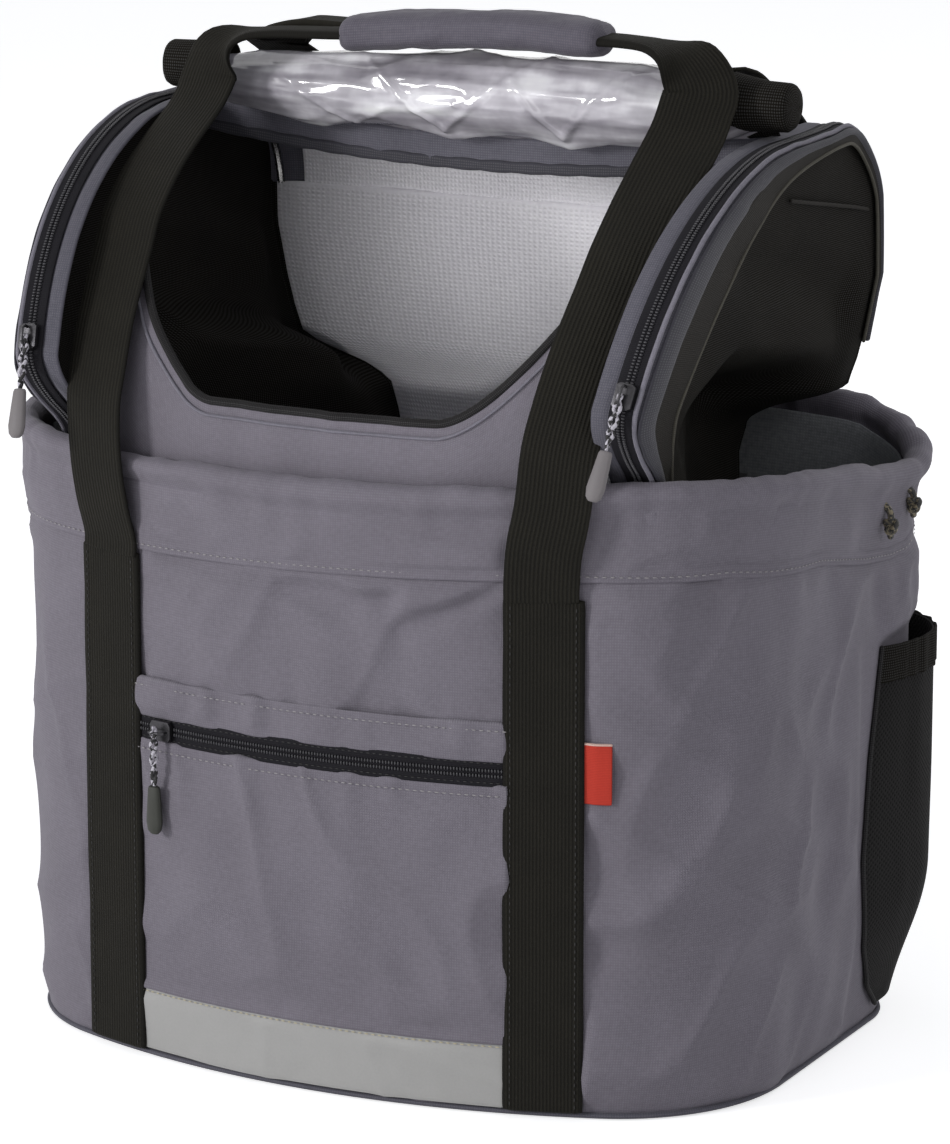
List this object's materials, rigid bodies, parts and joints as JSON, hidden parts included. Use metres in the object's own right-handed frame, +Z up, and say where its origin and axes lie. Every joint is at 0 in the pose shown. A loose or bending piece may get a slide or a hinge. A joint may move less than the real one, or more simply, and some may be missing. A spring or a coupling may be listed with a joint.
{
  "type": "soft pet basket for a bicycle handlebar",
  "caption": "Fabric pet basket for a bicycle: oval tub with a hooped zip hood, rolled clear flap, webbing handles with padded grip, zip pocket and a back plate.",
  "frame": {"origin": "on the base's underside, in the middle between the tub's sides, half way between the rim's front and the back of the hook rail", "axes": "+Z up, the front with the zip pocket faces -Y, the back plate faces +Y, and +X is the side on the right when the front is looked at"},
  "size_m": [0.3782, 0.285, 0.444],
  "materials": {
    "grey_fabric": "matt woven polyester",
    "light_lining": "plush lining",
    "black_fabric": "matt woven polyester",
    "webbing": "ribbed polypropylene webbing",
    "zip": "coil zip tape",
    "mesh": "net",
    "slider_metal": "dark lacquered",
    "steel": "plated",
    "cord": "speckled round cord",
    "pull_rubber_grey": "matt",
    "pull_rubber_black": "matt",
    "reflective": "retroreflective film",
    "red_tab": "woven label tape",
    "grip_fabric": "padded fabric",
    "clear_film": "clear soft film",
    "plastic_black": "moulded",
    "plastic_red": "moulded",
    "board": "stiff sheet"
  },
  "bodies": {
    "basket": {"adapter_plate": "plastic_black", "adapter_screw_lower_left": "steel", "adapter_screw_lower_right": "steel", "adapter_screw_upper_left": "steel", "adapter_screw_upper_right": "steel", "back_panel": "grey_fabric", "back_stiffener": "board", "base_board": "board", "base_cushion": "light_lining", "base_panel": "grey_fabric", "base_piping": "zip", "front_panel": "grey_fabric", "front_pocket_face": "grey_fabric", "front_pocket_welt": "grey_fabric", "front_strap_left": "webbing", "front_strap_right": "webbing", "front_zip_tape": "zip", "hood_back_wall": "light_lining", "hood_band_left": "grey_fabric", "hood_band_right": "grey_fabric", "hood_bib": "grey_fabric", "hood_binding_left": "webbing", "hood_binding_right": "webbing", "hood_hoop_left": "steel", "hood_hoop_right": "steel", "hood_roof": "grey_fabric", "hood_side_wall_left": "black_fabric", "hood_side_wall_right": "black_fabric", "mesh_pocket_left": "mesh", "mesh_pocket_right": "mesh", "rear_strap_left": "webbing", "rear_strap_right": "webbing", "reflective_strip": "reflective", "rim_casing": "grey_fabric", "rim_drawcord": "cord", "roof_front_band": "grey_fabric", "side_panel_left": "grey_fabric", "side_panel_right": "grey_fabric", "side_tab": "red_tab", "side_zip_tape_left": "zip", "side_zip_tape_right": "zip", "window_flap_roll": "clear_film"},
    "front_zip_slider_body": {"front_zip_slider": "slider_metal"},
    "front_zip_pull": {"front_zip_pull_cord": "cord", "front_zip_pull_tip": "pull_rubber_black"},
    "side_slider_left": {"side_zip_slider_left": "slider_metal"},
    "side_slider_right": {"side_zip_slider_right": "slider_metal"},
    "side_pull_left": {"side_zip_pull_left_cord": "cord", "side_zip_pull_left_tip": "pull_rubber_grey"},
    "side_pull_right": {"side_zip_pull_right_cord": "cord", "side_zip_pull_right_tip": "pull_rubber_grey"},
    "front_handle": {"front_handle_loop": "webbing", "handle_grip": "grip_fabric"},
    "rear_handle": {"rear_handle_loop": "webbing"},
    "button": {"release_button": "plastic_red"},
    "leash": {"leash_strap": "webbing", "snap_hook": "steel"},
    "gate": {"snap_gate": "steel"}
  },
  "joints": [
    {"name": "front_zip_travel", "type": "hinge", "parent": "basket", "child": "front_zip_slider_body", "pos_m": [0, 0.21607, 0.148], "axis": [0, 0, 1], "range_deg": [0, 23.9]},
    {"name": "front_zip_pull_swing", "type": "hinge", "parent": "front_zip_slider_body", "child": "front_zip_pull", "pos_m": [-0.07468, -0.1362, 0.148], "axis": [-0.9783, 0.2074, 0], "range_deg": [0, 110]},
    {"name": "side_zip_travel_left", "type": "hinge", "parent": "basket", "child": "side_slider_left", "pos_m": [-0.13332, 0.00458, 0.2585], "axis": [-0.9929, 0, -0.1191], "range_deg": [0, 56]},
    {"name": "side_zip_travel_right", "type": "hinge", "parent": "basket", "child": "side_slider_right", "pos_m": [0.13332, 0.00458, 0.2585], "axis": [-0.9929, 0, 0.1191], "range_deg": [0, 56]},
    {"name": "side_zip_pull_swing_left", "type": "hinge", "parent": "side_slider_left", "child": "side_pull_left", "pos_m": [-0.13978, -0.12787, 0.31229], "axis": [-0.9929, 0, -0.1191], "range_deg": [0, 100]},
    {"name": "side_zip_pull_swing_right", "type": "hinge", "parent": "side_slider_right", "child": "side_pull_right", "pos_m": [0.13978, -0.12787, 0.31229], "axis": [-0.9929, 0, 0.1191], "range_deg": [0, 100]},
    {"name": "front_handle_swing", "type": "hinge", "parent": "basket", "child": "front_handle", "pos_m": [0, -0.12859, 0.2223], "axis": [1, 0, 0], "range_deg": [0, 110]},
    {"name": "rear_handle_swing", "type": "hinge", "parent": "basket", "child": "rear_handle", "pos_m": [0, 0.11828, 0.2223], "axis": [-1, 0, 0], "range_deg": [0, 110]},
    {"name": "release_button_press", "type": "slide", "parent": "basket", "child": "button", "axis": [0, 0, 1], "range_m": [0, 0.005], "stiffness_N_per_m": 300},
    {"name": "leash_swing", "type": "hinge", "parent": "basket", "child": "leash", "pos_m": [0, 0.10408, 0.235], "axis": [-1, 0, 0], "range_deg": [0, 80]},
    {"name": "snap_gate_swing", "type": "hinge", "parent": "leash", "child": "gate", "pos_m": [-0.0027, 0.10368, 0.15722], "axis": [0, -1, 0], "range_deg": [0, 25], "stiffness_Nm_per_rad": 0.02}
  ]
}
